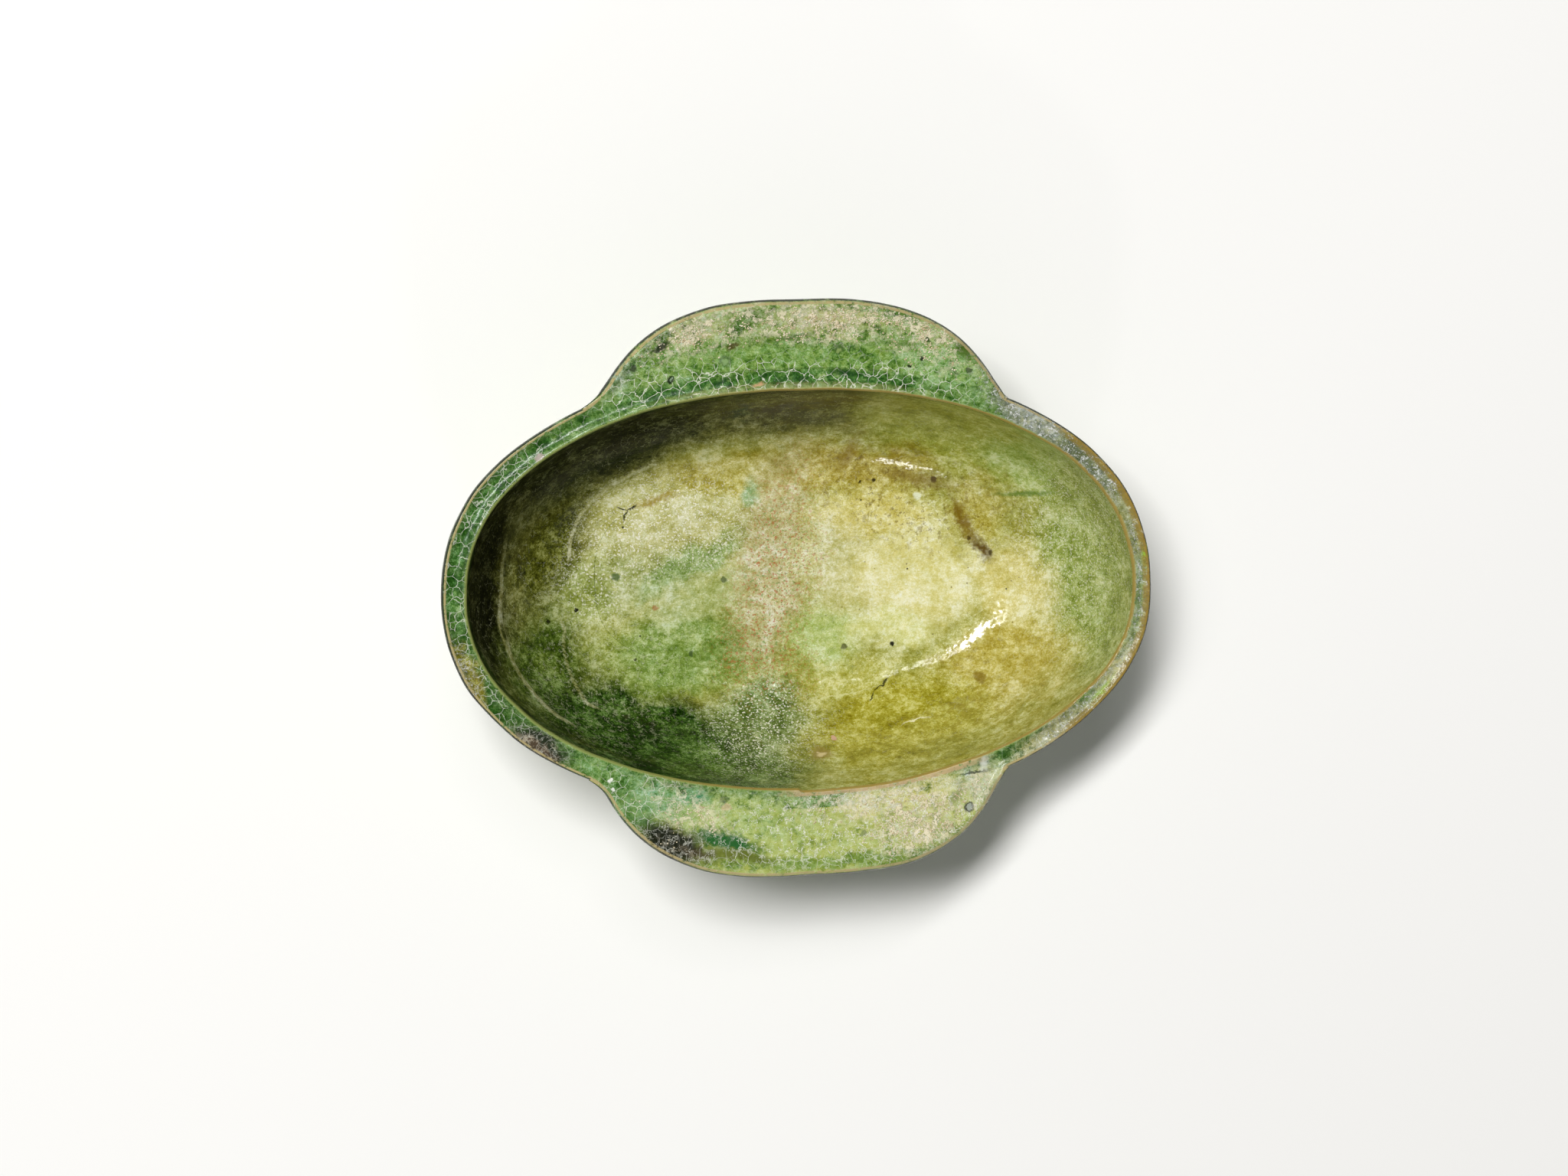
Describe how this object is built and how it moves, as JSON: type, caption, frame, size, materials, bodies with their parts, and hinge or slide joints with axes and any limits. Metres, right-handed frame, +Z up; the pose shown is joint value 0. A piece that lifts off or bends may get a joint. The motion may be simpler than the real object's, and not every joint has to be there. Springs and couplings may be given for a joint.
{
  "type": "ear cup",
  "caption": "Shallow boat-shaped oval pottery cup with a flat rim, a crescent ear along each long side and a low flat oval foot.",
  "frame": {"origin": "centre of the foot's flat underside", "axes": "+X along the cup, +Y across it towards the back ear, +Z up out of the bowl"},
  "size_m": [0.12, 0.0966, 0.0349],
  "materials": {
    "bowl_glaze": "glossy crazed lead glaze, green to amber over a pale clay",
    "ear_glaze": "glossy crazed green lead glaze, worn and silvered in places",
    "foot_clay": "dry unglazed earthenware with glaze at its edge"
  },
  "bodies": {
    "root": {"bowl_body": "bowl_glaze", "ear_back": "ear_glaze", "ear_front": "ear_glaze", "foot_pad": "foot_clay"}
  },
  "joints": []
}
